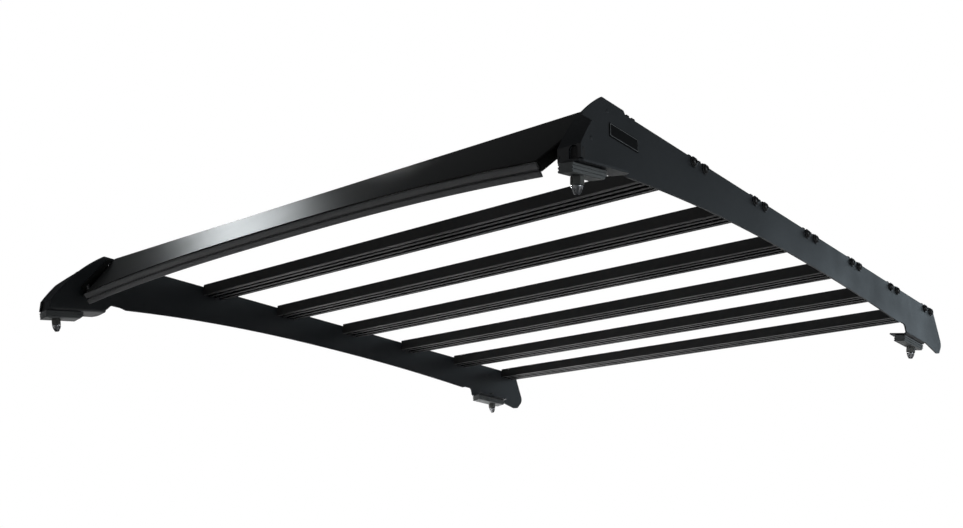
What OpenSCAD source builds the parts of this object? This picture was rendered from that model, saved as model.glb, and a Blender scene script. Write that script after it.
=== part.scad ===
/* [Platform] */
// Overall width over the outer faces of the side plates
rack_w = 1148; // [900:2:1400]
// Number of slats
slat_count = 7; // [7:1:7]
// Distance from one slat's centre to the next
slat_pitch = 202; // [150:1:240]

/* [Slat profile] */
// Width of a slat, front to back
slat_w = 52; // [46:1:70]
// Height of a slat
slat_h = 20.5; // [18:0.5:30]
// How far the slats stand above the side plates
slat_proud = 3.9; // [1:0.1:6]
// Thickness of a slat's outer walls
slat_wall = 2.2; // [1.5:0.1:3]
// Chamfer along a slat's outer edges
slat_edge = 2; // [0.5:0.5:3]
// Width of the mouth of a slat's channels
slot_mouth = 8.6; // [6:0.2:12]
// Width of a channel behind its lips
slot_inner = 17; // [14:0.5:22]
// Depth of a channel behind its lips
slot_depth = 6.4; // [4:0.2:7]
// Thickness of a channel's lips
slot_lip = 2.2; // [1.5:0.1:3]
// Width of the flat faces beside a channel's mouth
lip_face = 5.5; // [3:0.5:8]
// Width of the flat rims along a slat's outer edges
rim_w = 6.5; // [4:0.5:10]
// Depth of the recesses between the rims and the lips
recess_depth = 1.8; // [0.4:0.1:2]
// Radius of the screw ports at a slat's ends
port_r = 4; // [3:0.1:4.5]

/* [Side plates] */
// Thickness of the sheet
plate_t = 3; // [2:0.5:4]
// Depth of the plate at its waist, from its top edge
waist_depth = 61.6; // [50:0.2:75]
// Distance of the waist behind the first slat
waist_y = 588; // [450:2:700]
// Extra depth of the plate below the first slat
front_drop = 28.7; // [15:0.1:40]
// How fast the front of the lower edge bends down
front_power = 2.38; // [2:0.02:3]
// Radius of the lower edge behind the waist
rear_radius = 8200; // [6000:100:12000]
// Height of the raised part over the nose
crest_h = 4.9; // [2:0.1:8]
// Distance from the first slat forward to the crest's front
crest_y = 62; // [45:1:80]
// Distance from the first slat forward to the nose's front
nose_y = 160; // [130:1:190]
// Depth of the straight foot of the nose, from the top edge
nose_foot = 104; // [90:1:112]
// Radius of the corners of the relief cuts
relief_r = 8; // [3:0.5:10]
// Distance from the last slat back to the top rear corner
tail_top = 34; // [28:1:60]
// Distance from the last slat back to the rearmost point
tail_y = 67; // [55:1:90]
// Depth of the rearmost point
tail_depth = 66; // [40:1:80]
// Depth of the tip of the tail
tail_tip = 95.5; // [80:0.5:110]
// Radius of the holes for the slat screws
screw_hole_r = 4.3; // [4:0.1:5]
// Distance of the slat screws from a slat's centre
screw_spread = 17.6; // [15:0.1:24]

/* [Feet] */
// Width of the foot flanges beyond the plate
flange_w = 32; // [26:1:40]
// Inner radius of the flanges' bends
bend_r = 2.5; // [1:0.5:5]
// Slope of the flanges across the rack, in degrees
flange_cant = 8; // [0:1:15]
// Width of the notch over a front stud's head
notch_w = 13; // [10:1:16]
// Distance of that notch from the plate's outer face
notch_x = 14; // [10:1:16]
// Slope of the front flanges along the rack, in degrees
front_pitch = 9.6; // [0:0.2:14]
// Distance from the first slat forward to the front studs
front_stud_y = 139; // [125:1:145]
// Length of the front flange behind the stud
front_flange_len = 97; // [70:1:110]
// Distance of the rear studs behind the last slat, negative is in front of it
rear_stud_back = -84; // [-120:1:-60]
// Distance from the rear stud forward to the flange's front end
rear_flange_front = 66; // [50:1:90]
// Distance from the rear stud back to the flange's rear end
rear_flange_back = 43; // [30:1:60]
// Distance of the studs from the plate's face
stud_out = 12; // [11:0.5:18]
// Width of a foot block
block_w = 22; // [18:1:26]
// Height of a foot block
block_h = 12.5; // [8:0.5:18]
// Thickness of the rubber pad between a flange and its block
pad_t = 1.5; // [1:0.5:4]
// Length of a front foot block in front of the stud
block_front = 26; // [14:1:28]
// Length of a front foot block behind the stud
block_back = 51; // [40:1:80]
// Radius of a stud
stud_r = 4; // [3:0.1:6]
// Radius of the sleeve below a block
sleeve_r = 8.8; // [7:0.1:12]
// Length of the sleeve below a block
sleeve_len = 12; // [6:0.5:20]
// Length of the expanding nose below the sleeve
nose_len = 12; // [8:0.5:20]
// Width of the slots that split the expanding nose
nose_slot = 1.6; // [0.8:0.1:2.5]
// Radius of the expanding nose's tip
nose_tip_r = 4; // [2:0.5:5]
// Gap between a stud and the sleeve, block or flange round it
stud_gap = 0.4; // [0.2:0.1:1]
// Distance across the flats of a stud's head
head_flats = 13; // [10:0.5:17]
// Height of a stud's head
head_h = 5.5; // [4:0.5:8]

/* [Wind deflector] */
// Distance from the first slat forward to the deflector's top edge
wing_top_y = 40; // [30:1:50]
// Distance from the first slat forward to the deflector's lower edge
wing_low_y = 124; // [105:1:135]
// Depth of the deflector's lower edge at its middle
wing_low_z = 76; // [60:0.5:90]
// How far the lower edge drops from its middle to its ends
wing_arch = 17.5; // [5:0.5:25]
// How sharply the lower edge bends down at its ends
wing_power = 2.6; // [2:0.1:4]
// Distance from the edge strip's ends to the side plates
wing_inset = 57; // [40:1:80]
// Depth of the returns along the sheet's slanted ends
wing_return = 15; // [8:1:20]
// Thickness of the deflector's sheet
wing_t = 2; // [1.5:0.5:4]
// Width of the edge strip's two lips together
strip_w = 21; // [14:0.5:28]
// Width of the groove between the lips
strip_groove = 2.4; // [1:0.2:4]
// Thickness of a lip
strip_t = 5; // [3:0.5:8]
// Width of the bracket's leg along the side plate
tab_w = 24; // [18:1:30]
// Thickness of the brackets
tab_t = 2.5; // [2:0.5:4]
// Radius of the holes for the bracket's screws
tab_hole_r = 3.3; // [2.5:0.1:4]

/* [Badge] */
// Length of the blank badge plate
badge_l = 72; // [50:1:90]
// Height of the blank badge plate
badge_h = 20; // [14:1:26]
// Thickness of the blank badge plate
badge_t = 1; // [0.6:0.1:2]

/* [Hidden] */
$fn = 32;

// Colours of the powder coat, the rubber and the bare metal
plate_color = "#2b3238";
slat_color = "#17181a";
wing_color = "#20242a";
rubber_color = "#3a3b3d";
block_color = "#3c3e40";
steel_color = "#8d9094";

// Places that follow from the sizes above
outer_x = rack_w / 2;
inner_x = outer_x - plate_t;
last_slat_y = (slat_count - 1) * slat_pitch;
front_y = -nose_y;
rear_y = last_slat_y + tail_y;
slat_len = 2 * inner_x;
slat_mid_z = slat_proud - slat_h / 2;
rear_stud_y = last_slat_y + rear_stud_back;
bend_out = bend_r + plate_t;
pad = 0.01;
fit_gap = 0.3;

// Depth of the plate's lower edge at a distance y behind the first slat
function roof_z(y) = y < waist_y
  ? -waist_depth - front_drop * pow((waist_y - y) / waist_y, front_power)
  : -waist_depth - pow(y - waist_y, 2) / (2 * rear_radius);

// Underside of the flanges at the studs, where they meet the plate's outer face
front_foot_z = roof_z(-front_stud_y) - 10;
rear_foot_z = roof_z(rear_stud_y) - 10.5;

// Height of the bend's start above the flange's underside
bend_up = bend_out / cos(flange_cant) - (bend_out - plate_t) * tan(flange_cant);
function front_bend_z(y) = front_foot_z + (y + front_stud_y) * tan(front_pitch) + bend_up;
bend_up_rear = bend_out / cos(flange_cant) + (bend_out - plate_t) * tan(flange_cant);

// Lowest point of the front studs, which is the height of the whole rack
stud_drop = pad_t + block_h + sleeve_len + nose_len;
lean = cos(flange_cant) * cos(front_pitch);
stand_h = -front_foot_z + stud_out * sin(flange_cant) * cos(front_pitch)
  + stud_drop * lean + nose_tip_r * sqrt(1 - lean * lean);

// Middle of the rack's length, between the front blocks' noses and the tails
block_front_y = -front_stud_y - block_front * cos(front_pitch) + pad_t * sin(front_pitch);
mid_y = (min(front_y, block_front_y) + rear_y) / 2;

// Unit vector from p to q, and the points of a corner at v with a fillet of radius r
function unit(p, q) = (q - p) / norm(q - p);
function fillet(p, v, q, r, n = 6) =
  let (a = unit(v, p), b = unit(v, q), half = acos(max(-1, min(1, a * b))) / 2)
  r <= 0 || half > 89.5 ? [v] :
  let (
    reach = min(r / tan(half), 0.45 * norm(p - v), 0.45 * norm(q - v)),
    rr = reach * tan(half),
    c = v + (a + b) / norm(a + b) * rr / sin(half),
    s = v + a * reach - c,
    e = v + b * reach - c,
    turn = 180 - 2 * half,
    way = sign(s[0] * e[1] - s[1] * e[0])
  )
  [for (i = [0:n]) let (t = way * turn * i / n)
    c + [s[0] * cos(t) - s[1] * sin(t), s[0] * sin(t) + s[1] * cos(t)]];
// A closed outline whose corners are [y, z, radius]
function rounded(pts) = [for (i = [0:len(pts) - 1])
  let (
    n = len(pts),
    a = pts[(i + n - 1) % n],
    v = pts[i],
    b = pts[(i + 1) % n]
  )
  each fillet([a[0], a[1]], [v[0], v[1]], [b[0], b[1]], v[2])];

// Curve of the nose from its foot up to the crest
nose_foot_pt = [front_y, -nose_foot];
nose_mid_pt = [-nose_y * 0.77, -38];
crest_pt = [-crest_y, crest_h];
function nose_pt(t) =
  (1 - t) * (1 - t) * nose_foot_pt + 2 * t * (1 - t) * nose_mid_pt + t * t * crest_pt;

// Ends of the relief cuts beside the foot flanges
front_flange_end = -front_stud_y + front_flange_len;
front_relief_end = front_flange_end + 42;
rear_flange_start = rear_stud_y - rear_flange_front;
rear_flange_end = rear_stud_y + rear_flange_back;
rear_relief_start = rear_flange_start - 38;

// Corners of the tail, and how far its rearmost corner lies outside its rounding
tail_r = 16;
tail_high = [last_slat_y + tail_top + 8, -14];
tail_back = [rear_y, -tail_depth - 4];
tail_low = [last_slat_y + tail_top + 14, -tail_tip + 3];
tail_up = unit(tail_back, tail_high);
tail_down = unit(tail_back, tail_low);
tail_out = -unit([0, 0], tail_up + tail_down)[0] * tail_r / sin(acos(tail_up * tail_down) / 2) - tail_r;

// Outline of a side plate, going round from the crest to the nose's foot
function plate_outline() = concat(
  [for (i = [16:-1:1]) let (p = nose_pt(i / 16)) [p[0], p[1], i == 16 ? 4 : 0]],
  [[front_y, front_bend_z(front_y), 0]],
  [
    [front_flange_end, front_bend_z(front_flange_end), 0],
    [front_flange_end + 8, roof_z(front_relief_end) + 2.5, relief_r],
    [front_relief_end - 12, roof_z(front_relief_end) + 2.5, relief_r]
  ],
  [for (i = [0:24])
    let (y = front_relief_end + (rear_relief_start - front_relief_end) * i / 24)
    [y, roof_z(y), 0]],
  [
    [rear_relief_start + 8, roof_z(rear_relief_start) + 3, relief_r],
    [rear_flange_start - 5, roof_z(rear_relief_start) + 3, relief_r],
    [rear_flange_start, rear_foot_z + bend_up_rear, 0],
    [rear_flange_end, rear_foot_z + bend_up_rear, 0],
    [last_slat_y + tail_top - 2, -tail_tip, 9],
    [tail_low[0], tail_low[1], 8],
    [rear_y + tail_out, tail_back[1], tail_r],
    [tail_high[0], tail_high[1], 20],
    [last_slat_y + tail_top, 0, 6],
    [-4, 0, 2],
    [-8, crest_h, 2]
  ]
);

// Section of a foot flange with its bend: x is measured outwards from the plate's
// outer face, and drop is the flange's slope away from the plate
function flange_section(drop, up) =
  let (
    sweep = 90 - drop,
    c = [bend_r, up],
    reach = flange_w / cos(drop)
  )
  concat(
    [[-plate_t, up + 3]],
    [for (i = [0:6]) c + bend_out * [cos(180 + sweep * i / 6), sin(180 + sweep * i / 6)]],
    [[flange_w, -flange_w * tan(drop)]],
    [[flange_w + plate_t * sin(drop), -flange_w * tan(drop) + plate_t * cos(drop)]],
    [for (i = [6:-1:0]) c + bend_r * [cos(180 + sweep * i / 6), sin(180 + sweep * i / 6)]],
    [[0, up + 3]]
  );

// Puts a shape drawn along the rack at [across, up] into the rack's frame
module along(from, to) {
  translate([0, to, 0]) rotate([90, 0, 0]) linear_extrude(to - from) children();
}

// Plan of the front flange, which runs out to the plate behind its block
module front_flange_plan() {
  far = front_flange_len;
  near = nose_y - front_stud_y;
  translate([0, 0, -40]) linear_extrude(80) polygon([
    [-plate_t - 1, -near], [flange_w - 4, -near], [flange_w + 1, -near + 5],
    [flange_w + 1, far - 9], [flange_w - 6, far - 2], [flange_w - 12, far], [-plate_t - 1, far]
  ]);
}

// Frames of the feet on the right-hand side, at the flange's underside under the plate
module front_foot_frame() {
  translate([outer_x, -front_stud_y, front_foot_z]) rotate([front_pitch, 0, 0]) children();
}
module rear_foot_frame() {
  translate([inner_x, rear_stud_y, rear_foot_z]) mirror([1, 0, 0]) children();
}
// The same frames turned to the flange's slope, with the stud on the z axis
module front_stud_frame() {
  front_foot_frame() rotate([0, flange_cant, 0]) translate([stud_out, 0, 0]) children();
}
module rear_stud_frame() {
  rear_foot_frame() rotate([0, -flange_cant, 0]) translate([stud_out, 0, 0]) children();
}

// The upright flange round the nose's front edge, with a notch over the stud's head
module nose_flange() {
  steps = 10;
  top_t = 0.56;
  front = [for (i = [0:steps]) nose_pt(top_t * i / steps)];
  back = [for (i = [steps:-1:0])
    let (t = top_t * i / steps, d = unit(nose_pt(t), nose_pt(t + 0.02)))
    nose_pt(t) + plate_t * [-d[1] * -1, d[0] * -1]];
  foot = front_bend_z(front_y) - bend_up;
  notch_top = -nose_foot;
  difference() {
    translate([inner_x, 0, 0]) rotate([90, 0, 90]) linear_extrude(plate_t + flange_w)
      polygon(concat([[front_y, foot]], front, back, [[front_y + plate_t, foot]]));
    translate([outer_x, 0, 0]) rotate([90, 0, 0]) translate([0, 0, -nose_y])
      linear_extrude(4 * nose_y, center = true)
      polygon([[4, -42], [flange_w + 1, -66], [flange_w + 1, 10], [4, 10]]);
    translate([outer_x + notch_x + notch_w / 2, front_y, notch_top - notch_w / 2])
      rotate([90, 0, 0]) cylinder(r = notch_w / 2, h = 30, center = true);
    translate([outer_x + notch_x, front_y - 15, foot - 20])
      cube([notch_w, 30, notch_top - notch_w / 2 - foot + 20]);
  }
}

module side_plate() {
  front_u = front_flange_end + front_stud_y;
  difference() {
    union() {
      translate([inner_x, 0, 0]) rotate([90, 0, 90]) linear_extrude(plate_t)
        polygon(rounded(plate_outline()));
      nose_flange();
      front_foot_frame() intersection() {
        along(-nose_y + front_stud_y, front_u) polygon(flange_section(flange_cant, bend_up));
        front_flange_plan();
      }
      rear_foot_frame() along(-rear_flange_front, rear_flange_back)
        polygon(flange_section(-flange_cant, bend_up_rear));
    }
    for (i = [1:slat_count - 1], s = [-1, 1])
      translate([inner_x, i * slat_pitch + s * screw_spread, slat_mid_z])
        rotate([0, 90, 0]) cylinder(r = screw_hole_r, h = 4 * plate_t, center = true);
    for (p = tab_screws)
      translate([inner_x, p[0], p[1]])
        rotate([0, 90, 0]) cylinder(r = tab_hole_r, h = 4 * plate_t, center = true);
    front_stud_frame() cylinder(r = stud_r + stud_gap, h = 30, center = true);
    rear_stud_frame() cylinder(r = stud_r + stud_gap, h = 30, center = true);
  }
}

// Section of a slat: channels above and below, recesses beside them, and a chamber
// with a screw port on each side
function chamber_w() = slat_w / 2 - slat_wall - slot_inner / 2 - slat_wall;
module slat_half_section() {
  h = slat_h / 2;
  e = slat_edge;
  w = slat_w / 2;
  lip = slot_mouth / 2 + lip_face;
  rim = w - rim_w;
  port_wall = 1.6;
  difference() {
    polygon([
      [-pad, -h], [lip, -h], [lip + recess_depth, -h + recess_depth],
      [rim - recess_depth, -h + recess_depth], [rim, -h], [w - e, -h], [w - 0.3 * e, -h + 0.3 * e],
      [w, -h + e], [w, h - e], [w - 0.3 * e, h - 0.3 * e], [w - e, h], [rim, h],
      [rim - recess_depth, h - recess_depth], [lip + recess_depth, h - recess_depth],
      [lip, h], [-pad, h]
    ]);
    for (s = [-1, 1]) {
      translate([-1, s > 0 ? h - slot_lip - 1 : -h - 1])
        square([slot_mouth / 2 + 1, slot_lip + 2]);
      translate([-1, s > 0 ? h - slot_lip - slot_depth : -h + slot_lip])
        square([slot_inner / 2 + 1, slot_depth]);
    }
    difference() {
      translate([screw_spread - chamber_w() / 2, -h + slat_wall + recess_depth])
        square([chamber_w(), slat_h - 2 * slat_wall - 2 * recess_depth]);
      translate([screw_spread, 0]) circle(r = port_r + port_wall);
      translate([screw_spread, 0]) square([chamber_w() + 1, port_wall], center = true);
    }
    translate([screw_spread, 0]) circle(r = port_r);
  }
}
module slat_section() {
  slat_half_section();
  mirror([1, 0, 0]) slat_half_section();
}

module slat(i) {
  color(slat_color)
    translate([-slat_len / 2, i * slat_pitch, slat_mid_z])
    rotate([90, 0, 90]) linear_extrude(slat_len) slat_section();
}

// The deflector's sheet: straight top edge, lower edge arched over the windscreen
wing_half_low = inner_x - wing_inset;
wing_half_top = inner_x - tab_t - 0.6;
wing_top_z = slat_proud - 1;
wing_steps = 24;
function wing_z(x) = -wing_low_z - wing_arch * pow(abs(x) / wing_half_low, wing_power);
function wing_dir(x) = unit([-wing_top_y, wing_top_z], [-wing_low_y, wing_z(x)]);
// Centre line of the sheet at the fraction f of its half width, along its two edges
function wing_low(f) = [f * wing_half_low, -wing_low_y, wing_z(f * wing_half_low)];
function wing_high(f) = [f * wing_half_top, -wing_top_y, wing_top_z];
function wing_normal(f) = let (d = wing_dir(f * wing_half_low)) [0, d[1], -d[0]];

// A closed skin over rings of points that all have the same count
module skin(rings) {
  n = len(rings[0]);
  m = len(rings);
  polyhedron(
    points = [for (r = rings) each r],
    faces = concat(
      [[for (j = [n - 1:-1:0]) j]],
      [for (i = [0:m - 2], j = [0:n - 1])
        [i * n + j, i * n + (j + 1) % n, (i + 1) * n + (j + 1) % n, (i + 1) * n + j]],
      [[for (j = [0:n - 1]) (m - 1) * n + j]]
    )
  );
}

// The sheet's slanted end, moved outwards by x and back by the distance d
function wing_end(p, x, d) = p + [x, 0, 0] - d * wing_normal(1);
module wing_end_return() {
  a = wing_high(1);
  b = wing_low(1);
  skin([for (p = [a, b]) [
    wing_end(p, 0, -pad), wing_end(p, 0, wing_return),
    wing_end(p, -wing_t, wing_return), wing_end(p, -wing_t, -pad)
  ]]);
}
module wind_deflector() {
  color(wing_color) union() {
    skin([for (i = [0:wing_steps])
      let (
        f = -1 + 2 * i / wing_steps,
        a = wing_high(f),
        b = wing_low(f),
        n = wing_t * wing_normal(f)
      )
      [a, b, b + n, a + n]]);
    wing_end_return();
    mirror([1, 0, 0]) wing_end_return();
  }
}

// The rubber strip under the deflector's lower edge: two lips with a groove between
strip_back = [0, 0.62, -0.785];
strip_out = [0, -0.785, -0.62];
function strip_at(b, back, out) = b + back * strip_back + out * strip_out;
function strip_ring(f) =
  let (
    b = wing_low(f),
    edge = b + wing_t * wing_normal(f),
    lip = (strip_w - strip_groove) / 2
  )
  [
    edge,
    strip_at(edge, 0, strip_t * 0.6),
    strip_at(b, 1.5, strip_t),
    strip_at(b, lip, strip_t),
    strip_at(b, lip + 0.4, 0.8),
    strip_at(b, lip + strip_groove - 0.4, 0.8),
    strip_at(b, lip + strip_groove, strip_t),
    strip_at(b, strip_w - 1.5, strip_t),
    strip_at(b, strip_w, strip_t * 0.6),
    strip_at(b, strip_w, 0),
    b
  ];
module deflector_edge_strip() {
  color(rubber_color)
    skin([for (i = [0:wing_steps]) strip_ring(-1 + 2 * i / wing_steps)]);
}

// Screws of the brackets, on a line below the deflector's sheet
tab_screws = [[-49, -12], [-88, -64]];
// A bracket: a tab on the side plate and a leg behind the sheet, up to its slanted return
module deflector_bracket() {
  a = tab_screws[0];
  b = tab_screws[1];
  d = unit(a, b);
  s = [-d[1], d[0]];
  leg_from = wing_return - tab_t;
  top = wing_high(1) * 0.75 + wing_low(1) * 0.25;
  low = wing_high(1) * 0.2 + wing_low(1) * 0.8;
  color(wing_color) difference() {
    union() {
      translate([inner_x - tab_t, 0, 0]) rotate([90, 0, 90]) linear_extrude(tab_t)
        polygon(rounded([
          [each (a - 10 * d - tab_w / 2 * s), 5], [each (b + 12 * d - tab_w / 2 * s), 5],
          [each (b + 12 * d + tab_w / 2 * s), 5], [each (a - 10 * d + tab_w / 2 * s), 5]
        ]));
      skin([for (p = [top, low]) [
        [inner_x - pad, wing_end(p, 0, leg_from)[1], wing_end(p, 0, leg_from)[2]],
        [inner_x - pad, wing_end(p, 0, wing_return)[1], wing_end(p, 0, wing_return)[2]],
        wing_end(p, fit_gap, wing_return),
        wing_end(p, fit_gap, leg_from)
      ]]);
    }
    for (p = tab_screws)
      translate([inner_x, p[0], p[1]])
        rotate([0, 90, 0]) cylinder(r = tab_hole_r, h = 4 * plate_t, center = true);
  }
}

// The rubber pad between a flange and its block
module foot_pad(front, back) {
  color(rubber_color) difference() {
    translate([-block_w / 2 + 1, -front + 3, -pad_t])
      cube([block_w - 2, front + back - 8, pad_t]);
    cylinder(r = stud_r + stud_gap, h = 4 * pad_t, center = true);
  }
}

// An extruded block with two grooves along each side
module foot_block(front, back) {
  groove = 1.2;
  color(block_color) translate([0, 0, -pad_t]) difference() {
    along(-front, back) polygon([
      [-block_w / 2, 0], [-block_w / 2, -3], [-block_w / 2 + groove, -3],
      [-block_w / 2 + groove, -5], [-block_w / 2, -5], [-block_w / 2, -block_h + 5],
      [-block_w / 2 + groove, -block_h + 5], [-block_w / 2 + groove, -block_h + 3],
      [-block_w / 2, -block_h + 3], [-block_w / 2, -block_h + 1], [-block_w / 2 + 1, -block_h],
      [block_w / 2 - 1, -block_h], [block_w / 2, -block_h + 1], [block_w / 2, -block_h + 3],
      [block_w / 2 - groove, -block_h + 3], [block_w / 2 - groove, -block_h + 5],
      [block_w / 2, -block_h + 5], [block_w / 2, -5], [block_w / 2 - groove, -5],
      [block_w / 2 - groove, -3], [block_w / 2, -3], [block_w / 2, 0]
    ]);
    cylinder(r = stud_r + stud_gap, h = 4 * block_h, center = true);
    translate([0, back, -block_h]) rotate([35, 0, 0])
      cube([2 * block_w, 2 * block_h, 9], center = true);
  }
}

// A hexagon bolt through flange, block and sleeve, with a tapered expanding nose
module stud() {
  tip = pad_t + block_h + sleeve_len;
  nose = tip + nose_len;
  color(steel_color) difference() {
    stud_body(tip);
    for (a = [0, 90])
      rotate([0, 0, a]) translate([0, 0, -nose + (nose_len - 5) / 2 - 0.5])
        cube([3 * sleeve_r, nose_slot, nose_len - 4], center = true);
  }
}
module stud_body(tip) {
  union() {
    translate([0, 0, plate_t]) cylinder(r = sleeve_r - 0.8, h = 1.6);
    translate([0, 0, plate_t + 1.6 - pad])
      cylinder(r = head_flats / 2 / cos(30), h = head_h + pad, $fn = 6);
    translate([0, 0, -tip - 1]) cylinder(r = stud_r, h = tip + plate_t + 1 + pad);
    translate([0, 0, -tip - 4]) cylinder(r = sleeve_r - 1.2, h = 4 - 0.3);
    translate([0, 0, -tip - nose_len]) rotate_extrude() polygon([
      [0, 0], [nose_tip_r, 0], [nose_tip_r + 1.4, 1.5], [sleeve_r - 1.6, nose_len - 4 + pad],
      [0, nose_len - 4 + pad]
    ]);
  }
}

// The sleeve that a stud draws up inside the mounting hole
module sleeve() {
  color(rubber_color) translate([0, 0, -pad_t - block_h - sleeve_len]) difference() {
    rotate_extrude() polygon([
      [0, 0], [sleeve_r - 0.6, 0], [sleeve_r, 0.6], [sleeve_r, sleeve_len - 3],
      [sleeve_r + 1, sleeve_len - 3], [sleeve_r + 1, sleeve_len], [0, sleeve_len]
    ]);
    translate([0, 0, -1]) cylinder(r = stud_r + stud_gap, h = sleeve_len + 2);
  }
}

// The blank plate on the right-hand side plate's outer face
module badge_plate() {
  color("#0c0d0e") translate([outer_x, -9, -36]) rotate([90, 0, 90])
    linear_extrude(badge_t) polygon(rounded([
      [-badge_l / 2, -badge_h / 2, 1.5], [badge_l / 2, -badge_h / 2, 1.5],
      [badge_l / 2, badge_h / 2, 1.5], [-badge_l / 2, badge_h / 2, 1.5]
    ]));
}

// The rack stands on its front studs' noses, with the origin under its middle
module place() {
  translate([0, -mid_y, stand_h]) children();
}
module left() {
  mirror([1, 0, 0]) children();
}

color(plate_color) place() left() side_plate();  // side_plate_left
color(plate_color) place() side_plate();  // side_plate_right
place() slat(0);  // slat_1
place() slat(1);  // slat_2
place() slat(2);  // slat_3
place() slat(3);  // slat_4
place() slat(4);  // slat_5
place() slat(5);  // slat_6
place() slat(6);  // slat_7
place() wind_deflector();
place() deflector_edge_strip();
place() left() deflector_bracket();  // deflector_bracket_left
place() deflector_bracket();  // deflector_bracket_right
place() left() front_stud_frame() foot_pad(block_front, block_back);  // foot_pad_front_left
place() front_stud_frame() foot_pad(block_front, block_back);  // foot_pad_front_right
place() left() rear_stud_frame() foot_pad(rear_flange_front, rear_flange_back);  // foot_pad_rear_left
place() rear_stud_frame() foot_pad(rear_flange_front, rear_flange_back);  // foot_pad_rear_right
place() left() front_stud_frame() foot_block(block_front, block_back);  // foot_block_front_left
place() front_stud_frame() foot_block(block_front, block_back);  // foot_block_front_right
place() left() rear_stud_frame() foot_block(rear_flange_front, rear_flange_back);  // foot_block_rear_left
place() rear_stud_frame() foot_block(rear_flange_front, rear_flange_back);  // foot_block_rear_right
place() left() front_stud_frame() stud();  // stud_front_left
place() front_stud_frame() stud();  // stud_front_right
place() left() rear_stud_frame() stud();  // stud_rear_left
place() rear_stud_frame() stud();  // stud_rear_right
place() left() front_stud_frame() sleeve();  // sleeve_front_left
place() front_stud_frame() sleeve();  // sleeve_front_right
place() left() rear_stud_frame() sleeve();  // sleeve_rear_left
place() rear_stud_frame() sleeve();  // sleeve_rear_right
place() badge_plate();
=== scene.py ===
import math

import bpy
import numpy as np
from mathutils import Matrix, Vector


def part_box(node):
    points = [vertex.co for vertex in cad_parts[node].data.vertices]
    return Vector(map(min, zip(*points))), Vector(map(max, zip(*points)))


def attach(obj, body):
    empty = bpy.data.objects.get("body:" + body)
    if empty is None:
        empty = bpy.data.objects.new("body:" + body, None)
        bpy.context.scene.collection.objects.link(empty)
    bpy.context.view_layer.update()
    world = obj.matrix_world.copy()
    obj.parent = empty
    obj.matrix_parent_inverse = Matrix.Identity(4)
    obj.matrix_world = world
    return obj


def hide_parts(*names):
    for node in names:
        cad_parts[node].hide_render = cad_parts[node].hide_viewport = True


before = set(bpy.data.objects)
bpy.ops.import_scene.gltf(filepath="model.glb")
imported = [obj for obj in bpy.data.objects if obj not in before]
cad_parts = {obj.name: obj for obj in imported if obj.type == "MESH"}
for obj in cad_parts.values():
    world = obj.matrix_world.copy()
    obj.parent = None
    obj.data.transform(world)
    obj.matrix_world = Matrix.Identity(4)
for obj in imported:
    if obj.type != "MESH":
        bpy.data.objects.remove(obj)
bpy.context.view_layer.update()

# A flat platform roof rack, dressed for its studio picture. Lengths are in metres.

# Places of the rack's parts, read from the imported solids
slat_boxes = [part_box("slat_%d" % i) for i in range(1, 8)]
slat_low, slat_high = slat_boxes[0]
slat_length = slat_high[0] - slat_low[0]
inner_face = slat_length / 2
slat_mid_z = (slat_low[2] + slat_high[2]) / 2
first_slat_y = (slat_low[1] + slat_high[1]) / 2

# Sizes that the solids have by design
plate_sheet = 0.003
outer_face = inner_face + plate_sheet
slat_pitch = 0.202
screw_spread = 0.0176
wing_sheet = 0.002
notch_middle = 0.0205

# The visible slats have crisp edges, and reach this far past the solids' rounded ones
slat_rise = 0.0007
slat_sink = 0.0010

# Camera


def place_camera():
    """The camera stands in front of and below the rack and looks up along it, as in the picture."""
    data = bpy.data.cameras.new("camera")
    data.lens = 42.08
    data.sensor_width = 36.0
    data.clip_start = 0.05
    data.clip_end = 200.0
    camera = bpy.data.objects.new("camera", data)
    right = Vector((0.77677, 0.62963, 0.01381)).normalized()
    ahead = Vector((-0.60337, 0.73773, 0.30281)).normalized()
    up = right.cross(ahead).normalized()
    turn = Matrix((right, up, -ahead)).transposed().to_4x4()
    camera.matrix_world = Matrix.Translation((1.30866, -1.76325, -0.50022)) @ turn
    bpy.context.scene.collection.objects.link(camera)
    bpy.context.scene.camera = camera


place_camera()

# Node helpers


def node(tree, kind, x, y, **values):
    """A node of that kind at (x, y), with attributes or input values set by name."""
    made = tree.nodes.new(kind)
    made.location = (x, y)
    for name, value in values.items():
        if hasattr(made, name):
            setattr(made, name, value)
        else:
            made.inputs[name.replace("_", " ")].default_value = value
    return made


def join(tree, source, output, target, entry):
    """Links one node's output to another node's input."""
    tree.links.new(source.outputs[output], target.inputs[entry])


def group_sockets(tree, inputs, outputs):
    """Gives a node group its named inputs with defaults, and its named outputs."""
    for name, kind, value in inputs:
        socket = tree.interface.new_socket(name=name, in_out="INPUT", socket_type=kind)
        socket.default_value = value
    for name, kind in outputs:
        tree.interface.new_socket(name=name, in_out="OUTPUT", socket_type=kind)


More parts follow.
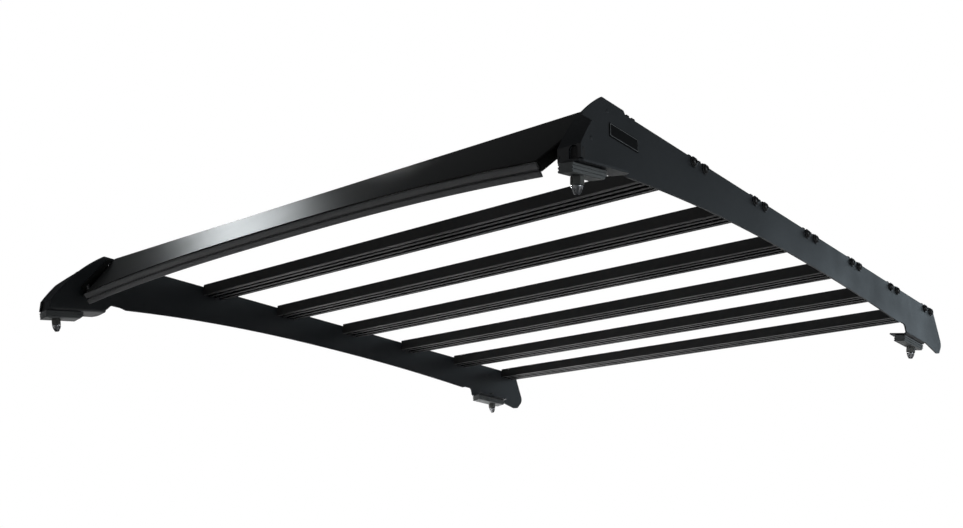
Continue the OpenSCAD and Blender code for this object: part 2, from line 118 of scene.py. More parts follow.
def powder_grain_group():
    """Powder coat: a fine orange-peel height, and a mask of faint blotches where the coat is thicker."""
    tree = bpy.data.node_groups.new("powder_grain", "ShaderNodeTree")
    group_sockets(
        tree,
        [("Grain Size", "NodeSocketFloat", 900.0), ("Blotch Size", "NodeSocketFloat", 7.0)],
        [("Height", "NodeSocketFloat"), ("Blotch", "NodeSocketFloat")],
    )
    enter = node(tree, "NodeGroupInput", -800, 0)
    leave = node(tree, "NodeGroupOutput", 400, 0)
    place = node(tree, "ShaderNodeTexCoord", -800, -200)
    grain = node(tree, "ShaderNodeTexNoise", -400, 100, Detail=2.0, Roughness=0.6)
    blotch = node(tree, "ShaderNodeTexNoise", -400, -200, Detail=3.0, Roughness=0.5)
    spread = node(tree, "ShaderNodeMapRange", 0, -200)
    spread.inputs["From Min"].default_value = 0.35
    spread.inputs["From Max"].default_value = 0.65
    join(tree, place, "Object", grain, "Vector")
    join(tree, place, "Object", blotch, "Vector")
    join(tree, enter, "Grain Size", grain, "Scale")
    join(tree, enter, "Blotch Size", blotch, "Scale")
    join(tree, grain, "Fac", leave, "Height")
    join(tree, blotch, "Fac", spread, "Value")
    join(tree, spread, "Result", leave, "Blotch")
    return tree


def dust_group():
    """Dust: a mask that is highest on faces that look up, broken into specks by two noises."""
    tree = bpy.data.node_groups.new("dust_film", "ShaderNodeTree")
    group_sockets(
        tree,
        [("Amount", "NodeSocketFloat", 0.1), ("Speck Size", "NodeSocketFloat", 160.0)],
        [("Dust", "NodeSocketFloat")],
    )
    enter = node(tree, "NodeGroupInput", -900, 0)
    leave = node(tree, "NodeGroupOutput", 500, 0)
    place = node(tree, "ShaderNodeTexCoord", -900, -200)
    shape = node(tree, "ShaderNodeNewGeometry", -900, -450)
    split = node(tree, "ShaderNodeSeparateXYZ", -700, -450)
    facing = node(tree, "ShaderNodeMapRange", -450, -450)
    facing.inputs["From Min"].default_value = -0.2
    facing.inputs["From Max"].default_value = 1.0
    specks = node(tree, "ShaderNodeTexNoise", -600, 0, Detail=4.0, Roughness=0.7)
    drift = node(tree, "ShaderNodeTexNoise", -600, -220, Scale=5.0, Detail=2.0)
    both = node(tree, "ShaderNodeMath", -350, -50, operation="MULTIPLY")
    lifted = node(tree, "ShaderNodeMath", -100, -150, operation="MULTIPLY")
    scaled = node(tree, "ShaderNodeMath", 150, -50, operation="MULTIPLY")
    scaled.use_clamp = True
    join(tree, place, "Object", specks, "Vector")
    join(tree, place, "Object", drift, "Vector")
    join(tree, enter, "Speck Size", specks, "Scale")
    join(tree, shape, "Normal", split, "Vector")
    join(tree, split, "Z", facing, "Value")
    join(tree, specks, "Fac", both, 0)
    join(tree, drift, "Fac", both, 1)
    join(tree, both, "Value", lifted, 0)
    join(tree, facing, "Result", lifted, 1)
    join(tree, lifted, "Value", scaled, 0)
    join(tree, enter, "Amount", scaled, 1)
    join(tree, scaled, "Value", leave, "Dust")
    return tree


powder_grain = powder_grain_group()
dust_film = dust_group()


def coated(name, color, dusty, rough, rough_spread, grain_size, grain_depth, dust, specular=0.5):
    """A powder-coated finish: a dark colour, blotches in its gloss, fine grain, and a little dust."""
    material = bpy.data.materials.new(name)
    material.use_nodes = True
    tree = material.node_tree
    shader = tree.nodes["Principled BSDF"]
    shader.inputs["Specular IOR Level"].default_value = specular
    grain = node(tree, "ShaderNodeGroup", -900, 0, node_tree=powder_grain)
    grain.inputs["Grain Size"].default_value = grain_size
    film = node(tree, "ShaderNodeGroup", -900, -300, node_tree=dust_film)
    film.inputs["Amount"].default_value = dust
    tint = node(tree, "ShaderNodeMix", -500, 200, data_type="RGBA")
    tint.inputs[6].default_value = (*color, 1.0)
    tint.inputs[7].default_value = (*dusty, 1.0)
    gloss = node(tree, "ShaderNodeMapRange", -500, -100)
    gloss.inputs["To Min"].default_value = rough - rough_spread
    gloss.inputs["To Max"].default_value = rough + rough_spread
    bump = node(tree, "ShaderNodeBump", -400, -400)
    bump.inputs["Distance"].default_value = grain_depth
    bump.inputs["Strength"].default_value = 0.6
    join(tree, film, "Dust", tint, 0)
    tree.links.new(tint.outputs[2], shader.inputs["Base Color"])
    join(tree, grain, "Blotch", gloss, "Value")
    join(tree, gloss, "Result", shader, "Roughness")
    join(tree, grain, "Height", bump, "Height")
    join(tree, bump, "Normal", shader, "Normal")
    return material


def bare_metal(name, color, rough, metallic=1.0):
    """Plated or turned metal with fine scratches in its gloss."""
    material = bpy.data.materials.new(name)
    material.use_nodes = True
    tree = material.node_tree
    shader = tree.nodes["Principled BSDF"]
    shader.inputs["Base Color"].default_value = (*color, 1.0)
    shader.inputs["Metallic"].default_value = metallic
    place = node(tree, "ShaderNodeTexCoord", -900, 0)
    scratches = node(tree, "ShaderNodeTexNoise", -650, 0, Scale=420.0, Detail=3.0)
    gloss = node(tree, "ShaderNodeMapRange", -400, 0)
    gloss.inputs["To Min"].default_value = rough * 0.7
    gloss.inputs["To Max"].default_value = rough * 1.3
    join(tree, place, "Object", scratches, "Vector")
    join(tree, scratches, "Fac", gloss, "Value")
    join(tree, gloss, "Result", shader, "Roughness")
    return material


plate_coat = coated(
    "plate_powder_coat", (0.009, 0.011, 0.0135), (0.06, 0.063, 0.066),
    rough=0.42, rough_spread=0.05, grain_size=1400.0, grain_depth=0.00008, dust=0.10,
)
slat_coat = coated(
    "slat_powder_coat", (0.015, 0.015, 0.015), (0.09, 0.09, 0.09),
    rough=0.5, rough_spread=0.06, grain_size=1100.0, grain_depth=0.00012, dust=0.10,
)
# Painted shade: a near-black, almost glossless coat for the slats' channels and grooves, standing in for
# the shade that falls in these recesses
slat_recess = coated(
    "slat_recess", (0.002, 0.002, 0.002), (0.01, 0.01, 0.01),
    rough=0.6, rough_spread=0.05, grain_size=1100.0, grain_depth=0.0001, dust=0.05, specular=0.05,
)
wing_coat = coated(
    "deflector_powder_coat", (0.007, 0.0068, 0.006), (0.05, 0.048, 0.045),
    rough=0.358, rough_spread=0.012, grain_size=1500.0, grain_depth=0.00003, dust=0.04,
)
# Painted light: this grey is lighter than the rubber's own colour, standing in for light that the strip's
# dim side lacks
strip_rubber = coated(
    "edge_strip_rubber", (0.12, 0.12, 0.122), (0.15, 0.15, 0.15),
    rough=0.62, rough_spread=0.08, grain_size=600.0, grain_depth=0.00015, dust=0.15,
)
block_finish = coated(
    "block_grey", (0.10, 0.105, 0.105), (0.2, 0.2, 0.195),
    rough=0.5, rough_spread=0.1, grain_size=500.0, grain_depth=0.0003, dust=0.2,
)
pad_rubber = coated(
    "pad_rubber", (0.01, 0.01, 0.01), (0.05, 0.05, 0.05),
    rough=0.7, rough_spread=0.08, grain_size=600.0, grain_depth=0.00015, dust=0.1,
)
screw_black = coated(
    "screw_black", (0.012, 0.012, 0.013), (0.08, 0.08, 0.08),
    rough=0.38, rough_spread=0.06, grain_size=900.0, grain_depth=0.0001, dust=0.1,
)
badge_gloss = coated(
    "badge_gloss", (0.0015, 0.0015, 0.0015), (0.02, 0.02, 0.02),
    rough=0.5, rough_spread=0.04, grain_size=1500.0, grain_depth=0.00002, dust=0.03, specular=0.1,
)
stud_steel = bare_metal("bright_steel", (0.36, 0.36, 0.37), 0.22)
badge_edge = bare_metal("badge_border", (0.20, 0.205, 0.21), 0.45, 0.2)
sleeve_metal = bare_metal("sleeve_grey", (0.085, 0.085, 0.08), 0.5, 0.3)
head_steel = bare_metal("head_steel", (0.05, 0.048, 0.044), 0.4, 0.8)


def finish_of(name):
    """The finish that a CAD node wears."""
    if name.startswith("side_plate"):
        return plate_coat
    if name.startswith("slat"):
        return slat_coat
    if name.startswith("wind") or name.startswith("deflector_bracket"):
        return wing_coat
    if name == "deflector_edge_strip":
        return strip_rubber
    if name.startswith("foot_pad"):
        return pad_rubber
    if name.startswith("foot_block"):
        return block_finish
    if name.startswith("sleeve"):
        return sleeve_metal
    if name.startswith("stud"):
        return stud_steel
    return badge_gloss


for name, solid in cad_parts.items():
    solid.data.materials.clear()
    solid.data.materials.append(finish_of(name))

# Surfaces


def piece(name, points, faces, material, slot, smooth_angle=None):
    """A piece of the rack: its mesh is in place and it rides on the rack. Its slot argument is not used."""
    mesh = bpy.data.meshes.new(name)
    rows = faces if isinstance(faces, list) else faces.tolist()
    mesh.from_pydata(points.tolist(), [], rows)
    mesh.validate()
    mesh.materials.append(material)
    if smooth_angle is not None:
        mesh.polygons.foreach_set("use_smooth", np.ones(len(mesh.polygons), dtype=bool))
        mesh.set_sharp_from_angle(angle=math.radians(smooth_angle))
    made = bpy.data.objects.new(name, mesh)
    bpy.context.scene.collection.objects.link(made)
    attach(made, "root")
    return made


def turned(profile, sides):
    """Surface of revolution: each profile point (radius, height) goes round the z axis in equal steps t,
    x = radius cos t, y = radius sin t. Quads join ring to ring, and the profile's ends lie on the axis."""
    profile = np.array(profile, dtype=float)
    turn = np.arange(sides) * 2 * np.pi / sides
    ring = np.stack([np.cos(turn), np.sin(turn)], axis=1)
    heights = np.broadcast_to(profile[:, None, 1:], (len(profile), sides, 1))
    body = np.concatenate([profile[:, None, :1] * ring[None], heights], axis=2)
    first = np.arange(len(profile) - 1)[:, None] * sides + np.arange(sides)[None]
    after = np.arange(len(profile) - 1)[:, None] * sides + (np.arange(sides)[None] + 1) % sides
    faces = np.stack([first, after, after + sides, first + sides], axis=2).reshape(-1, 4)
    return body.reshape(-1, 3), faces


def frames(places, outward):
    """For each place, an orthonormal frame whose third axis is the outward direction."""
    outward = np.array(outward, dtype=float)
    outward = outward / np.linalg.norm(outward, axis=-1, keepdims=True)
    helper = np.where(np.abs(outward[..., 2:3]) > 0.8, [1.0, 0.0, 0.0], [0.0, 0.0, 1.0])
    side = np.cross(helper, outward)
    side = side / np.linalg.norm(side, axis=-1, keepdims=True)
    other = np.cross(outward, side)
    return np.stack([side, other, outward], axis=-2)


def set_at(shape, places, outward):
    """Copies of one shape at many places: each copy is place + shape times that place's frame."""
    points, faces = shape
    places = np.array(places, dtype=float).reshape(-1, 3)
    outward = np.broadcast_to(np.array(outward, dtype=float), places.shape)
    turn = frames(places, outward)
    moved = np.einsum("pk,nkj->npj", points, turn) + places[:, None, :]
    shift = (np.arange(len(places)) * len(points))[:, None, None]
    return moved.reshape(-1, 3), (faces[None] + shift).reshape(-1, faces.shape[1])


def merged(*shapes):
    """Several shapes as one list of points and quads."""
    points, faces, start = [], [], 0
    for p, f in shapes:
        points.append(p)
        faces.append(f + start)
        start += len(p)
    return np.concatenate(points), np.concatenate(faces)


def closed_shell(rings, capped=True):
    """A closed skin from stacked rings of equal count: quads join ring to ring and point to point. Each
    ring is an outer path and then its inner path reversed, so the two caps are quads across the wall."""
    count, around = rings.shape[:2]
    index = np.arange(count * around).reshape(count, around)
    after = np.roll(index, -1, axis=1)
    walls = np.stack([index[:-1], after[:-1], after[1:], index[1:]], axis=2).reshape(-1, 4)
    parts = [walls]
    if capped:
        half = around // 2
        outer = index[:, :half]
        inner = index[:, half:][:, ::-1]
        for row, flip in ((0, True), (count - 1, False)):
            cap = np.stack([outer[row, :-1], outer[row, 1:], inner[row, 1:], inner[row, :-1]], axis=1)
            parts.append(cap[:, ::-1] if flip else cap)
    return rings.reshape(-1, 3), np.concatenate(parts)


def prism(first, last):
    """A solid between two outlines of equal count: one quad for each side, and the outlines as its caps."""
    around = len(first)
    step = np.arange(around)
    after = (step + 1) % around
    walls = np.stack([step, after, after + around, step + around], axis=1)
    return np.concatenate([first, last]), walls.tolist() + [step[::-1].tolist(), (step + around).tolist()]


def arc(centre, radius, start, end, steps):
    """Points of a circular arc: centre + radius (cos t, sin t), with t in degrees from start to end."""
    t = np.radians(np.linspace(start, end, steps))
    return np.array(centre) + radius * np.stack([np.cos(t), np.sin(t)], axis=1)


# Wind deflector

plate_top_z = slat_high[2] - 0.0039
wing_half_low = inner_face - 0.057
wing_half_top = inner_face - 0.0031


def wing_edges(across):
    """The deflector's two edges at the fraction across of its half width: the top edge is straight, and
    the lower edge drops by 0.0175 times the 2.6th power of the fraction."""
    across = np.asarray(across, dtype=float)
    level = np.ones_like(across)
    drop = 0.076 + 0.0175 * np.abs(across) ** 2.6
    top = [across * wing_half_top, (first_slat_y - 0.040) * level, (plate_top_z + 0.0029) * level]
    bottom = [across * wing_half_low, (first_slat_y - 0.124) * level, plate_top_z - drop]
    return np.stack(top, axis=-1), np.stack(bottom, axis=-1)


def wing_normal(across):
    """Unit normal of the sheet, to the front and up: its slope turned by a quarter in the YZ plane."""
    top, bottom = wing_edges(across)
    slope = bottom - top
    normal = np.stack([np.zeros_like(slope[..., 0]), slope[..., 2], -slope[..., 1]], axis=-1)
    return normal / np.linalg.norm(normal, axis=-1, keepdims=True)


def wing_surface():
    """The deflector as a ruled sheet between its two edges, point = top (1 - v) + bottom v, with a return
    along each slanted end. The section is a path in (distance from the end, depth behind the sheet): a
    straight return, a rounded fold and the sheet, once for the outer skin and once for the inner one."""

    def fold_path(distance, radius):
        return np.concatenate([
            [[distance, 0.015], [distance, 0.0085]], arc((0.0030, 0.0010), radius, 180, 270, 7)
        ])

    fold, inner_fold = fold_path(0.0, 0.0030), fold_path(wing_sheet, 0.0010)
    middle = np.linspace(-1.0, 1.0, 121)[1:-1]
    v = np.linspace(0.0, 1.0, 13)[:, None, None]
    skins = []
    for path, lift in ((fold, wing_sheet), (inner_fold, 0.0)):
        ends = []
        for sign in (-1.0, 1.0):
            top, bottom = wing_edges(sign)
            line = top * (1 - v) + bottom * v
            shift = np.stack([-sign * path[:, 0], np.zeros(len(path)), np.zeros(len(path))], axis=1)
            depth = -path[:, 1:2] * wing_normal(sign)
            part = line + (shift + depth)[None]
            ends.append(part if sign < 0 else part[:, ::-1])
        keep = (np.abs(middle) * wing_half_low) < wing_half_low - 0.005
        top, bottom = wing_edges(middle[keep])
        sheet = top * (1 - v) + bottom * v + lift * wing_normal(middle[keep])[None]
        skins.append(np.concatenate([ends[0], sheet, ends[1]], axis=1))
    rings = np.concatenate([skins[0], skins[1][:, ::-1]], axis=1)
    return closed_shell(rings)


points, faces = wing_surface()
wing = piece("deflector_sheet", points, faces, wing_coat, "deflector_powder_coat", 35)
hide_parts("wind_deflector")


def edge_strip_surface():
    """The rubber strip below the deflector: a rounded two-lip profile carried along the arched lower edge,
    and a fan of triangles at each end. Each profile point is (distance back along the strip's face, height
    out of that face)."""
    back = np.array([0.0, 0.62, -0.785])
    out = np.array([0.0, -0.785, -0.62])
    lip = 0.0093
    profile = np.concatenate([
        [[0.0, 0.0016]],
        arc((0.0022, 0.0028), 0.0022, 170, 90, 5),
        arc((lip - 0.0018, 0.0032), 0.0018, 90, 0, 5),
        [[lip + 0.0001, 0.0004], [lip + 0.0026, 0.0004]],
        arc((lip + 0.0027 + 0.0018, 0.0032), 0.0018, 180, 90, 5),
        arc((0.0210 - 0.0022, 0.0028), 0.0022, 90, 10, 5),
        [[0.0210, 0.0004], [0.0104, 0.0002]],
    ])
    across = np.linspace(-1.0, 1.0, 121)
    bottom = wing_edges(across)[1]
    shape = profile[:, 0:1] * back + profile[:, 1:2] * out
    rings = bottom[:, None, :] + shape[None]
    count, around = rings.shape[:2]
    points, faces = closed_shell(rings, capped=False)
    middle = rings[[0, -1]].mean(axis=1)
    index = np.arange(count * around).reshape(count, around)
    hub = count * around
    start = np.stack([np.full(around, hub), np.roll(index[0], -1), index[0]], axis=1)
    end = np.stack([np.full(around, hub + 1), index[-1], np.roll(index[-1], -1)], axis=1)
    return np.concatenate([points, middle]), faces.tolist() + start.tolist() + end.tolist()


points, faces = edge_strip_surface()
strip = piece("deflector_strip", points, faces, strip_rubber, "rubber_parts", 40)
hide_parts("deflector_edge_strip")

# Slats


def slat_outline():
    """A slat's section as one closed path: crisp outer corners, and above and below a T-shaped channel with
    a square groove on each side of its lips."""
    w = (slat_high[1] - slat_low[1]) / 2
    top, low_edge = slat_high[2] + slat_rise, slat_low[2] - slat_sink
    mouth, inner, lip_depth, channel = 0.0043, 0.0085, 0.0022, 0.0064
    lip, rim, groove, round_edge = 0.0112, 0.0172, 0.0036, 0.0005

    def half(edge, down):
        """From the channel's middle to the slat's side, on the side of larger y."""
        return [
            (0.0, edge + down * (lip_depth + channel)), (inner, edge + down * (lip_depth + channel)),
            (inner, edge + down * lip_depth), (mouth, edge + down * lip_depth),
            (mouth, edge + down * 0.0003), (mouth + 0.0003, edge),
            (lip - 0.0003, edge), (lip, edge + down * 0.0003), (lip, edge + down * groove),
            (rim, edge + down * groove), (rim, edge + down * 0.0003), (rim + 0.0003, edge),
            (w - round_edge, edge), (w, edge + down * round_edge),
        ]

    right = half(top, -1.0) + half(low_edge, 1.0)[::-1]
    left = [(-y, z) for y, z in right[::-1]]
    return np.array(right[:-1] + left[:-1])


def slat_bars():
    """The seven slats: each is the section drawn from plate to plate, at that slat's middle."""
    section = slat_outline()
    points, faces = [], []
    for box_low, box_high in slat_boxes:
        middle = (box_low[1] + box_high[1]) / 2
        bar, sides = prism(*[
            np.column_stack([np.full(len(section), x), section[:, 0] + middle, section[:, 1]])
            for x in (box_low[0], box_high[0])
        ])
        start = len(points) * len(bar)
        points.append(bar)
        faces += [[corner + start for corner in side] for side in sides]
    return np.concatenate(points), faces


points, faces = slat_bars()
bars = piece("slat_bars", points, faces, slat_coat, "slat_powder_coat")

# The faces down in the channels and grooves wear a second, near-black material: painted shade for the shade
# that falls in these recesses
bars.data.materials.append(slat_recess)
middles = np.empty(len(bars.data.polygons) * 3)
bars.data.polygons.foreach_get("center", middles)
depth = np.minimum(slat_high[2] + slat_rise - middles[2::3], middles[2::3] - slat_low[2] + slat_sink)
off_middle = np.abs((middles[1::3] - first_slat_y + slat_pitch / 2) % slat_pitch - slat_pitch / 2)
recessed = (depth > 0.001) & (off_middle < 0.0175)
bars.data.polygons.foreach_set("material_index", recessed.astype(np.int32))
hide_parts(*["slat_%d" % i for i in range(1, 8)])

# Screws

# Button-head screw with a washer: the socket is a round cup in its crown
screw_head = turned(
    [
        (0.0, 0.0), (0.0084, 0.0), (0.0088, 0.0004), (0.0088, 0.0011), (0.0085, 0.0015),
        (0.0066, 0.0016), (0.0066, 0.0024), (0.0061, 0.0038), (0.0050, 0.0049), (0.0038, 0.0053),
        (0.0029, 0.0053), (0.0028, 0.0030), (0.0, 0.0030),
    ],
    24,
)
flush_head = turned(
    [
        (0.0, -0.0030), (0.0031, -0.0030), (0.0031, -0.0001), (0.0029, 0.0002), (0.0022, 0.0004),
        (0.0, 0.0005),
    ],
    24,
)
small_nut = turned(
    [
        (0.0, 0.0), (0.0058, 0.0), (0.0060, 0.0004), (0.0060, 0.0036), (0.0054, 0.0042), (0.0030, 0.0042),
        (0.0030, 0.0058), (0.0, 0.0058),
    ],
    6,
)

# Screws of the brackets, as (y, z) from the middle of the first slat and the top of the plates
bracket_screws = ((-0.049, -0.012), (-0.088, -0.064))

for side, sign in (("right", 1.0), ("left", -1.0)):
    places = [
        (sign * (outer_face + 0.0001), (box_low[1] + box_high[1]) / 2 + step, slat_mid_z)
        for box_low, box_high in slat_boxes[1:]
        for step in (-screw_spread, screw_spread)
    ]
    points, faces = set_at(screw_head, places, (sign, 0.0, 0.0))
    piece("slat_screws_" + side, points, faces, screw_black, "slat_powder_coat", 35)
    seats = [(first_slat_y + y, plate_top_z + z) for y, z in bracket_screws]
    heads = set_at(flush_head, [(sign * outer_face, y, z) for y, z in seats], (sign, 0.0, 0.0))
    nuts = set_at(small_nut, [(sign * (inner_face - 0.0026), y, z) for y, z in seats], (-sign, 0.0, 0.0))
    piece("bracket_studs_" + side, *heads, plate_coat, "plate_powder_coat", 35)
    piece("bracket_nuts_" + side, *nuts, stud_steel, "bright_steel", 35)

# Studs and sleeves

stud_axes = {
    "front_right": (0.1392, -0.1652, 0.9764), "front_left": (-0.1392, -0.1652, 0.9764),
    "rear_right": (0.1392, 0.0, 0.9903), "rear_left": (-0.1392, 0.0, 0.9903),
}


def stud_base(place):
    """The point where the stud of that foot passes the underside of the plate's flange: 20 mm above the
    middle of its sleeve, along the stud's axis."""
    box_low, box_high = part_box("sleeve_" + place)
    axis = np.array(stud_axes[place])
    return (np.array(box_low) + np.array(box_high)) / 2 + 0.020 * axis


def slotted_nose():
    """The stud's tapered nose: its radius falls with depth, and four slots cut in where the cosine of four
    times the angle is near one, deepest at the tip. The fan that closes the tip repeats a corner."""
    sides = 64
    turn = np.arange(sides) * 2 * np.pi / sides
    depth = np.array([0.0, 0.0005, 0.0015, 0.0035, 0.0055, 0.0075, 0.0095, 0.0110, 0.0118, 0.0120])
    radius = np.array([0.0070, 0.0074, 0.0075, 0.0073, 0.0067, 0.0060, 0.0050, 0.0043, 0.0038, 0.0030])
    slot = 1 / (1 + np.exp(-(np.cos(4 * turn) - 0.72) * 26))
    cut = np.clip(depth / 0.004 - 0.3, 0.0, 1.0) * 0.42
    out = radius[:, None] * (1 - cut[:, None] * slot[None])
    heights = np.broadcast_to(-depth[:, None], out.shape)
    rings = np.stack([out * np.cos(turn), out * np.sin(turn), heights], axis=2)
    points, faces = closed_shell(rings, capped=False)
    tip = len(points)
    last = (len(depth) - 1) * sides + np.arange(sides)
    fan = np.stack([last, np.roll(last, -1), np.full(sides, tip), np.full(sides, tip)], axis=1)
    return np.concatenate([points, [[0.0, 0.0, -0.0112]]]), np.concatenate([faces, fan])


def moved(shape, rise):
    """A shape lifted along its own axis."""
    points, faces = shape
    return points + np.array([0.0, 0.0, rise]), faces


# Each stud's parts along its axis, from the underside of the flange: above it the washer and the hexagon
# head, below it the shank with the slotted nose, and the hexagon sleeve with its collar
washer = turned([(0.0, 0.0), (0.0086, 0.0), (0.0088, 0.0003), (0.0088, 0.0012), (0.0, 0.0014)], 32)
hexagon = turned(
    [(0.0, 0.0), (0.0074, 0.0), (0.0075, 0.0004), (0.0075, 0.0085), (0.0066, 0.0096), (0.0, 0.0098)], 6
)
shank = turned([(0.0, 0.0), (0.0040, 0.0), (0.0040, 0.0300), (0.0, 0.0300)], 24)
hexagon_sleeve = turned(
    [(0.0, 0.0), (0.0080, 0.0), (0.0086, 0.0006), (0.0088, 0.0014), (0.0088, 0.0100), (0.0, 0.0100)], 6
)
collar = turned([(0.0, 0.0), (0.0080, 0.0), (0.0080, 0.0018), (0.0, 0.0018)], 6)
head_shape = merged(moved(washer, 0.0031), moved(hexagon, 0.0044))
stud_shape = merged(moved(shank, -0.0264), moved(slotted_nose(), -0.0260))
sleeve_shape = merged(moved(hexagon_sleeve, -0.0259), moved(collar, -0.0160))
bases = [stud_base(place) for place in stud_axes]
axes = list(stud_axes.values())
points, faces = set_at(head_shape, bases, axes)
piece("stud_heads", points, faces, head_steel, "bright_steel", 30)
points, faces = set_at(stud_shape, bases, axes)
studs = piece("stud_bodies", points, faces, stud_steel, "bright_steel", 38)
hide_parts(*["stud_" + place for place in stud_axes])
points, faces = set_at(sleeve_shape, bases, axes)
sleeves = piece("sleeve_bodies", points, faces, sleeve_metal, "rubber_parts", 30)
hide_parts(*["sleeve_" + place for place in stud_axes])

# Dark plugs: painted shade in the notches


def notch_shade_plug(side):
    """A dark rubber tongue behind the notch over a front stud's head, standing in for the shade inside the
    notch: painted shade. It has rounded upper corners, is drawn from its front face to its back face, and
    its foot is sunk in the sloping flange."""
    foot = stud_base("front_right")[2] + plate_sheet - 0.005
    near, far, radius, top = -0.0064, 0.0114, 0.0064, 0.0548
    front, back = -0.7143, -0.7083
    outline = np.concatenate([
        [(far, foot)], arc((far - radius, top - radius), radius, 0, 90, 8),
        arc((near + radius, top - radius), radius, 90, 180, 8), [(near, foot)],
    ])
    across = side * (outer_face + notch_middle + outline[:, 0])
    points, faces = prism(*[
        np.column_stack([across, np.full(len(outline), y), outline[:, 1]]) for y in (back, front)
    ])
    return points, faces if side > 0 else [face[::-1] for face in faces]


# Each plug is a dark sheet put where the notch holds only shade: painted shade
for side, sign in (("right", 1.0), ("left", -1.0)):
    points, faces = notch_shade_plug(sign)
    piece("notch_shade_plug_" + side, points, faces, pad_rubber, "rubber_parts", 30)

# Badge border


def badge_border():
    """A thin raised line round the blank badge: a strip 0.7 mm wide between two rounded rectangles."""
    box_low, box_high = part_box("badge_plate")
    centre = (np.array(box_low) + np.array(box_high)) / 2
    half = (np.array(box_high) - np.array(box_low))[1:] / 2
    rings = []
    for inset, height in ((0.0012, 0.0), (0.0012, 0.00015), (0.0019, 0.00015), (0.0019, 0.0)):
        corner = 0.0012
        reach = half - inset - corner
        outline = np.concatenate([
            arc((sy * reach[0], sz * reach[1]), corner, start, start + 90, 5)
            for sy, sz, start in ((1, 1, 0), (-1, 1, 90), (-1, -1, 180), (1, -1, 270))
        ])
        x = np.full(len(outline), box_high[0] + height)
        rings.append(np.stack([x, centre[1] + outline[:, 0], centre[2] + outline[:, 1]], axis=1))
    rings = np.array(rings)
    points, faces = closed_shell(rings, capped=False)
    return points, faces[:, ::-1]


points, faces = badge_border()
piece("badge_border", points, faces, badge_edge, "badge_gloss")

# Studio


def stage_floor():
    """The floor that the rack stands on. Seen from above it is pale and shows the rack's shadow. From below
    it is clear, because the picture's camera stands under it, and it never shades the rack."""
    mesh = bpy.data.meshes.new("floor")
    reach = 30.0
    corners = [(-reach, -reach, 0), (reach, -reach, 0), (reach, reach, 0), (-reach, reach, 0)]
    mesh.from_pydata(corners, [], [(0, 1, 2, 3)])
    floor = bpy.data.objects.new("floor", mesh)
    bpy.context.scene.collection.objects.link(floor)
    material = bpy.data.materials.new("floor_pale")
    material.use_nodes = True
    tree = material.node_tree
    shader = tree.nodes["Principled BSDF"]
    shader.inputs["Base Color"].default_value = (0.86, 0.86, 0.86, 1.0)
    shader.inputs["Roughness"].default_value = 0.9
    shader.inputs["Specular IOR Level"].default_value = 0.1
    pale = node(tree, "ShaderNodeEmission", 0, 300, Strength=0.55)
    both = node(tree, "ShaderNodeAddShader", 200, 250)
    shown = node(tree, "ShaderNodeMixShader", 400, 250)
    clear = node(tree, "ShaderNodeBsdfTransparent", 0, -300)
    shape = node(tree, "ShaderNodeNewGeometry", -200, 300)
    path = node(tree, "ShaderNodeLightPath", -200, 600)
    either = node(tree, "ShaderNodeMath", 50, 400, operation="MAXIMUM")
    pick = node(tree, "ShaderNodeMixShader", 300, 0)
    join(tree, shape, "Backfacing", either, 0)
    join(tree, path, "Is Shadow Ray", either, 1)
    join(tree, either, "Value", pick, 0)
    tree.links.new(shader.outputs[0], both.inputs[0])
    tree.links.new(pale.outputs[0], both.inputs[1])
    join(tree, path, "Is Camera Ray", shown, 0)
    tree.links.new(shader.outputs[0], shown.inputs[1])
    tree.links.new(both.outputs[0], shown.inputs[2])
    tree.links.new(shown.outputs[0], pick.inputs[1])
    tree.links.new(clear.outputs[0], pick.inputs[2])
    tree.links.new(pick.outputs[0], tree.nodes["Material Output"].inputs["Surface"])
    mesh.materials.append(material)


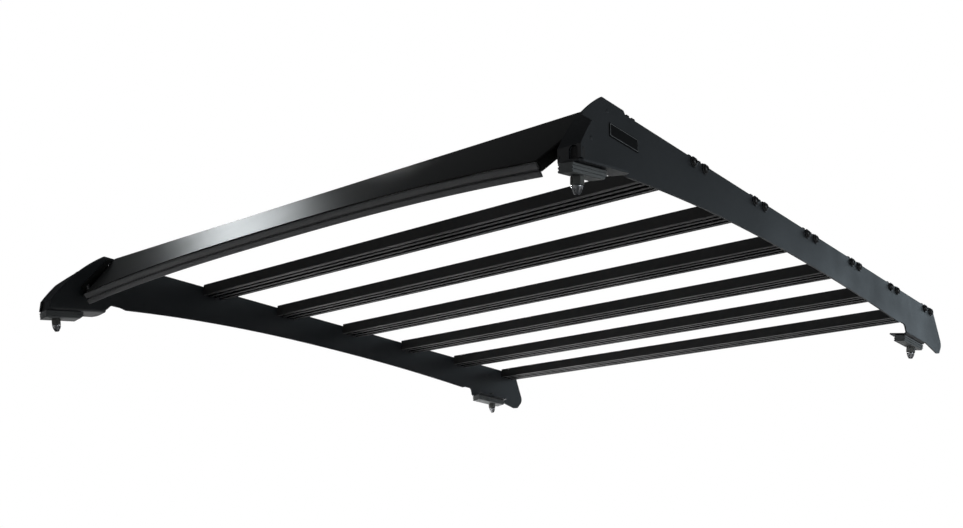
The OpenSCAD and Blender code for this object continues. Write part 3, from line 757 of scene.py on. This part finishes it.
def studio_world():
    """White behind the rack for the camera, and a dim grey room for the light on it."""
    world = bpy.data.worlds.new("studio")
    world.use_nodes = True
    bpy.context.scene.world = world
    tree = world.node_tree
    tree.nodes.clear()
    seen = node(tree, "ShaderNodeBackground", 0, 200)
    seen.inputs["Color"].default_value = (1.0, 1.0, 1.0, 1.0)
    seen.inputs["Strength"].default_value = 1.0
    room = node(tree, "ShaderNodeBackground", 0, 0)
    room.inputs["Color"].default_value = (0.92, 0.96, 1.0, 1.0)
    room.inputs["Strength"].default_value = 0.05
    path = node(tree, "ShaderNodeLightPath", -200, 400)
    pick = node(tree, "ShaderNodeMixShader", 250, 100)
    out = node(tree, "ShaderNodeOutputWorld", 450, 100)
    join(tree, path, "Is Camera Ray", pick, 0)
    tree.links.new(room.outputs[0], pick.inputs[1])
    tree.links.new(seen.outputs[0], pick.inputs[2])
    tree.links.new(pick.outputs[0], out.inputs["Surface"])


def softbox(name, at, target, width, height, power, color=(1.0, 1.0, 1.0), roll=0.0):
    """A rectangular lamp at one point that faces another, rolled by an angle in radians about its beam."""
    data = bpy.data.lights.new(name, "AREA")
    data.shape = "RECTANGLE"
    data.size = width
    data.size_y = height
    data.energy = power
    data.color = color
    lamp = bpy.data.objects.new(name, data)
    ahead = Vector(target) - Vector(at)
    face = ahead.to_track_quat("-Z", "Y").to_matrix().to_4x4()
    lamp.matrix_world = Matrix.Translation(at) @ face @ Matrix.Rotation(roll, 4, "Z")
    bpy.context.scene.collection.objects.link(lamp)


stage_floor()
studio_world()

# Lamps: name, where it stands, what it faces, width, height, power, tint and roll. The first makes the pale
# band on the deflector, and top_light reaches the slats' undersides by way of the floor
softbox(
    "wing_light", (-4.587, 1.708, 3.348), (-0.17, -0.64, 0.11), 1.35, 0.393, 19.3, (0.93, 0.98, 1.0), 0.362
)
softbox("rear_light", (2.73, 8.2, 1.95), (0.57, 0.3, 0.12), 2.9, 2.2, 29.0, (0.76, 0.9, 1.0))
softbox("rear_fill", (2.6, 2.7, 1.8), (0.57, -0.3, 0.12), 2.0, 2.0, 1.0, (0.8, 0.93, 1.0))
softbox("top_light", (-1.5, 1.3, 1.4), (0.0, -1.2, 0.0), 0.8, 0.8, 72.0)
softbox("side_light", (3.2, -0.2, 0.3), (0.57, -0.1, 0.1), 2.4, 0.35, 24.0, (0.9, 0.97, 1.0))
softbox("front_light", (-1.2, -3.0, 1.0), (0.0, 0.0, 0.15), 1.2, 0.8, 2.0)

scene = bpy.context.scene
scene.view_settings.view_transform = "Standard"
